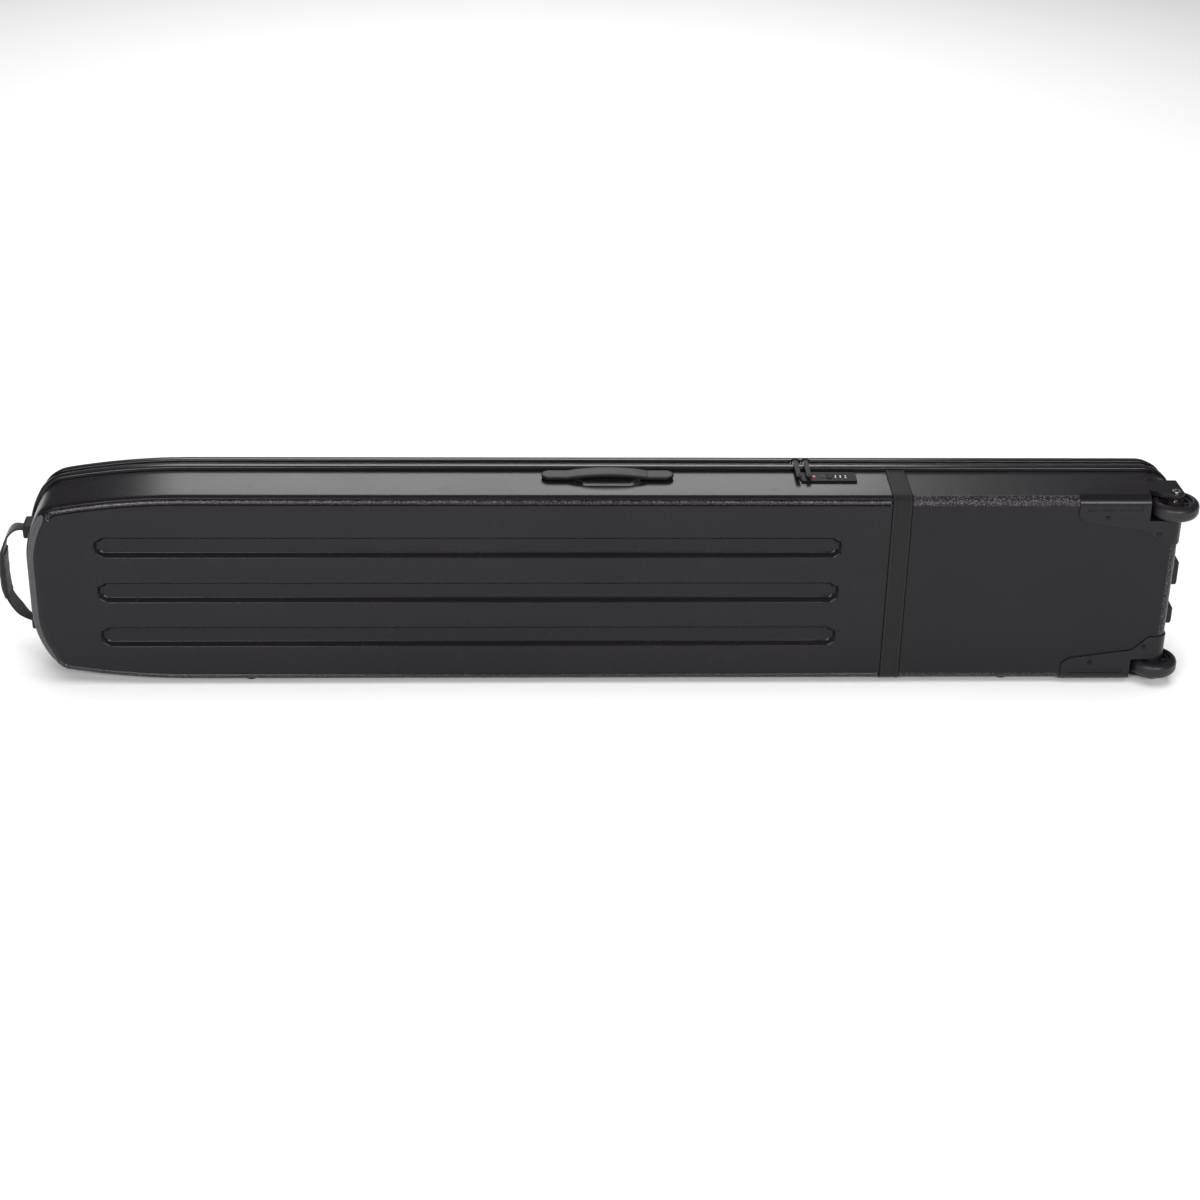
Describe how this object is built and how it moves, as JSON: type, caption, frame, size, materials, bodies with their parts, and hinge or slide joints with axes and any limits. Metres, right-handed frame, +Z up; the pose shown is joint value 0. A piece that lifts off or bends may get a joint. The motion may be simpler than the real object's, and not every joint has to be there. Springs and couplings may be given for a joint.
{
  "type": "snowboard case",
  "caption": "Hard-shell wheeled snowboard case: channelled deep tub, zipped thin lid on a fabric hinge, combination lock, carry handle and nose grab loop.",
  "frame": {"origin": "centre of the bottom of the case's bounding box, on the floor it stands on", "axes": "+X along the length from the nose with the grab loop to the wheeled tail, +Y from the big channelled face to the lid, +Z up across the width, the case standing on its long narrow edge"},
  "size_m": [1.774, 0.174, 0.3246],
  "materials": {
    "gloss_shell": "semi-gloss moulded black",
    "textured_shell": "pebble-textured black",
    "lid_shell": "semi-gloss moulded black",
    "lining": "woven lining",
    "webbing": "ribbed webbing",
    "rim": "satin moulded edge",
    "tape": "woven zip tape",
    "coil": "nylon coil",
    "housing": "satin black",
    "screw": "blackened steel",
    "steel": "zinc plated",
    "chrome": "polished",
    "tyre": "satin polyurethane",
    "hub": "satin black",
    "foot": "matt rubber",
    "grip": "satin soft-touch black",
    "lock": "satin dark grey",
    "dial": "black with white numerals",
    "indicator": "red",
    "zinc": "plated",
    "pull": "dark grey enamel",
    "sleeve": "padded wrap",
    "buckle": "acetal"
  },
  "bodies": {
    "tub": {"nose_tub": "gloss_shell", "tail_tub": "textured_shell", "tub_lining": "lining", "seam_band": "webbing", "tub_rim": "rim", "tub_zip_tape": "tape", "tub_zip_coil": "coil", "tub_hinge_leaf": "tape", "top_wheel_housing": "housing", "bottom_wheel_housing": "housing", "housing_screws": "screw", "axle_bolts": "steel", "axle_nuts": "steel", "axle_spacers": "steel", "tail_feet": "foot", "side_feet": "foot", "handle_bushes": "housing", "lock_body": "lock", "dial_shaft": "steel", "lock_indicator": "indicator", "loop_anchors": "housing", "strap_anchors": "housing", "strap_webbing": "webbing", "buckle_sockets": "buckle", "buckle_clips": "buckle"},
    "lid": {"lid_shell": "lid_shell", "lid_rim": "rim", "lid_zip_tape": "tape", "lid_zip_coil": "coil", "lid_hinge_leaf": "tape", "lid_lining": "lining"},
    "top_wheel": {"top_tyre": "tyre", "top_hub": "hub", "top_bearings": "steel"},
    "bottom_wheel": {"bottom_tyre": "tyre", "bottom_hub": "hub", "bottom_bearings": "steel"},
    "handle": {"carry_handle": "grip", "handle_posts": "steel"},
    "dial_1": {"number_dial_1": "dial"},
    "dial_2": {"number_dial_2": "dial"},
    "dial_3": {"number_dial_3": "dial"},
    "cylinder": {"key_cylinder": "chrome"},
    "button": {"release_button": "lock"},
    "slider_left": {"left_slider": "zinc"},
    "slider_right": {"right_slider": "zinc"},
    "pull_left": {"left_pull": "pull"},
    "pull_right": {"right_pull": "pull"},
    "grab_loop": {"nose_loop": "webbing", "loop_sleeve": "sleeve"},
    "slide_bar_nose": {"nose_slide_bar": "buckle"},
    "slide_bar_tail": {"tail_slide_bar": "buckle"}
  },
  "joints": [
    {"name": "lid_hinge", "type": "hinge", "parent": "tub", "child": "lid", "pos_m": [0, 0.0465, 0.0075], "axis": [-1, 0, 0], "range_deg": [0, 110]},
    {"name": "top_wheel_spin", "type": "hinge", "parent": "tub", "child": "top_wheel", "pos_m": [0.851, -0.051, 0.2916], "axis": [0, 0, 1], "continuous": true},
    {"name": "bottom_wheel_spin", "type": "hinge", "parent": "tub", "child": "bottom_wheel", "pos_m": [0.851, -0.051, 0.027], "axis": [0, 0, 1], "continuous": true},
    {"name": "handle_lift", "type": "slide", "parent": "tub", "child": "handle", "axis": [0, 0, 1], "range_m": [0, 0.012]},
    {"name": "cylinder_turn", "type": "hinge", "parent": "tub", "child": "cylinder", "pos_m": [0.3331, -0.0002, 0.3156], "axis": [0, 0, 1], "range_deg": [0, 90]},
    {"name": "button_press", "type": "slide", "parent": "tub", "child": "button", "axis": [0, 0, -1], "range_m": [0, 0.0012], "stiffness_N_per_m": 400, "springref_m": -0.0003},
    {"name": "left_slider_run", "type": "slide", "parent": "tub", "child": "slider_left", "axis": [-1, 0, 0], "range_m": [0, 0.17]},
    {"name": "right_slider_run", "type": "slide", "parent": "tub", "child": "slider_right", "axis": [1, 0, 0], "range_m": [0, 0.46]},
    {"name": "left_pull_flip", "type": "hinge", "parent": "slider_left", "child": "pull_left", "pos_m": [0.297, 0.0465, 0.3204], "axis": [-1, 0, 0], "range_deg": [0, 170]},
    {"name": "right_pull_flip", "type": "hinge", "parent": "slider_right", "child": "pull_right", "pos_m": [0.3122, 0.0465, 0.3204], "axis": [-1, 0, 0], "range_deg": [0, 170]},
    {"name": "loop_swing", "type": "hinge", "parent": "tub", "child": "grab_loop", "pos_m": [-0.844, -0.01, 0.16], "axis": [0, 0, 1], "range_deg": [-20, 20]},
    {"name": "nose_bar_slide", "type": "slide", "parent": "tub", "child": "slide_bar_nose", "axis": [0, 0, 1], "range_m": [-0.03, 0.07]},
    {"name": "tail_bar_slide", "type": "slide", "parent": "tub", "child": "slide_bar_tail", "axis": [0, 0, 1], "range_m": [-0.03, 0.07]},
    {"name": "dial_1_turn", "type": "hinge", "parent": "tub", "child": "dial_1", "pos_m": [0.3522, -0.0002, 0.3086], "axis": [1, 0, 0], "continuous": true},
    {"name": "dial_2_turn", "type": "hinge", "parent": "tub", "child": "dial_2", "pos_m": [0.3595, -0.0002, 0.3086], "axis": [1, 0, 0], "continuous": true},
    {"name": "dial_3_turn", "type": "hinge", "parent": "tub", "child": "dial_3", "pos_m": [0.3668, -0.0002, 0.3086], "axis": [1, 0, 0], "continuous": true}
  ]
}
